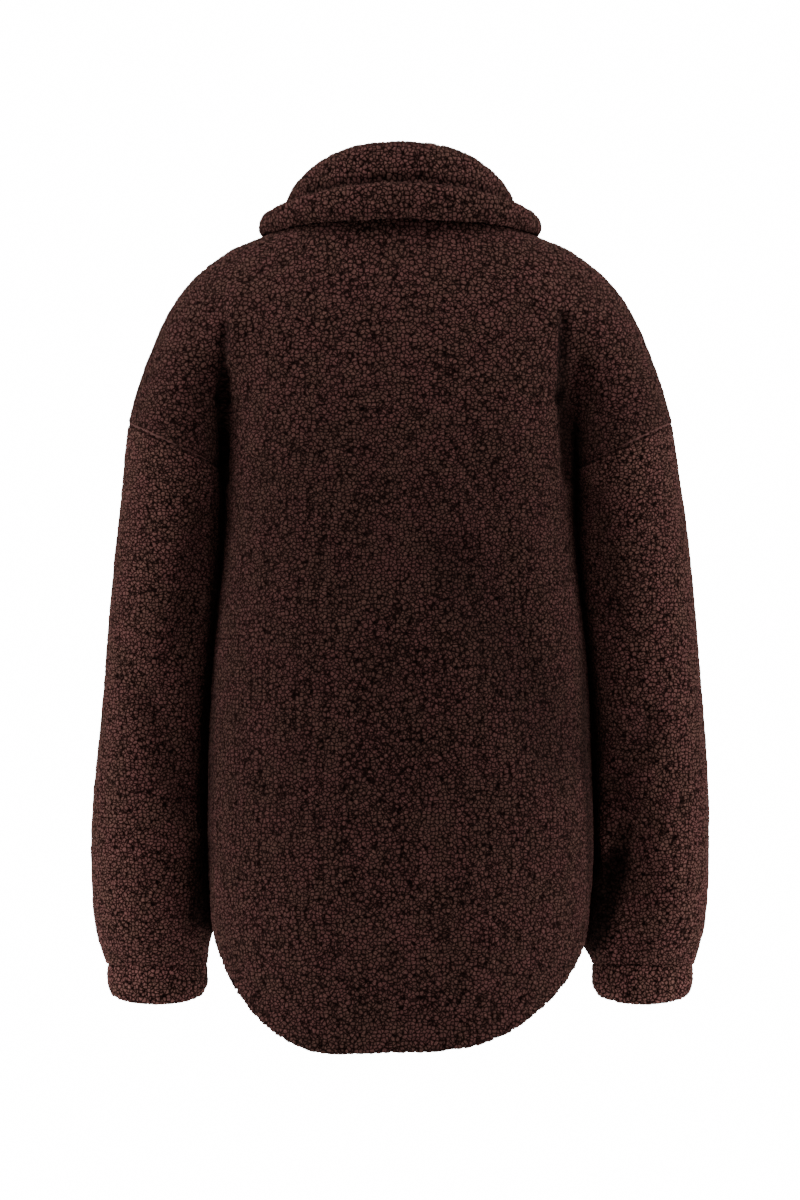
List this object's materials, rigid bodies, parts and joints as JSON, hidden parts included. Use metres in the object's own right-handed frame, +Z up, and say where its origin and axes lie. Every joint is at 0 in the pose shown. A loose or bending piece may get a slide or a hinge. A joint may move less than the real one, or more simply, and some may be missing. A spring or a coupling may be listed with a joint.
{
  "type": "teddy jacket",
  "caption": "Long-sleeved pile jacket in the hollow shape of wear, with a turned-down collar, dropped shoulders, gathered cuffs and a curved hem.",
  "frame": {"origin": "middle of the neck opening, level with the neck seam at the centre back", "axes": "+Z up along the wearer's spine, the wearer faces -Y, the wearer's left is +X"},
  "size_m": [0.5579, 0.2631, 0.8105],
  "materials": {
    "fleece": "dark chocolate brown curled pile",
    "stud": "dark brown enamel, satin"
  },
  "bodies": {
    "root": {"back": "fleece", "front_left": "fleece", "front_right": "fleece", "sleeve_left": "fleece", "sleeve_right": "fleece", "cuff_left": "fleece", "cuff_right": "fleece", "collar": "fleece", "stud_1": "stud", "stud_2": "stud", "stud_3": "stud", "stud_4": "stud", "stud_5": "stud"}
  },
  "joints": []
}
